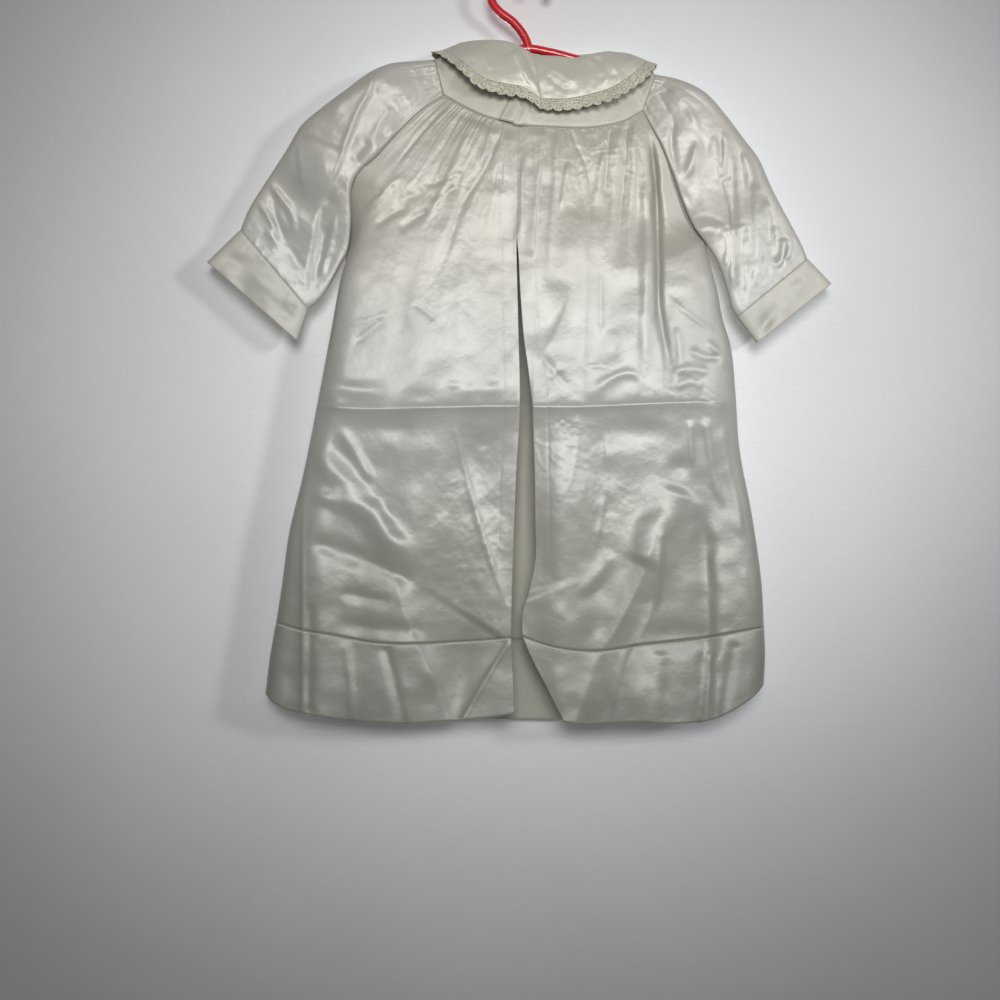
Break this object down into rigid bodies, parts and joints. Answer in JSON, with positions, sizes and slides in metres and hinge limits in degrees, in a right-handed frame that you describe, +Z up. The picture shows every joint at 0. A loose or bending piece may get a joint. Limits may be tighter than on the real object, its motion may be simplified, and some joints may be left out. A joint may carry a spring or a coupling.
{
  "type": "christening gown and hanger",
  "caption": "Baby's ivory satin gown with raglan sleeves, scalloped lace collar and an open front, hanging on a red plastic child's hanger.",
  "frame": {"origin": "inside of the hanger hook's crown, where it hangs on a nail, hook or rail", "axes": "+Z up, +X towards the wearer's left sleeve, -Y towards the front of the gown"},
  "size_m": [0.5, 0.0651, 0.6166],
  "materials": {
    "satin": "glossy ivory satin",
    "lace": "matte cream lace",
    "hanger": "smooth red plastic"
  },
  "bodies": {
    "root": {"front_right": "satin", "front_left": "satin", "back": "satin", "sleeve_right": "satin", "sleeve_left": "satin", "cuff_right": "satin", "cuff_left": "satin", "hem_front_right": "satin", "hem_front_left": "satin", "hem_back": "satin", "neck_yoke": "satin", "collar_right": "satin", "collar_left": "satin", "lace_right": "lace", "lace_left": "lace", "hanger": "hanger"}
  },
  "joints": []
}
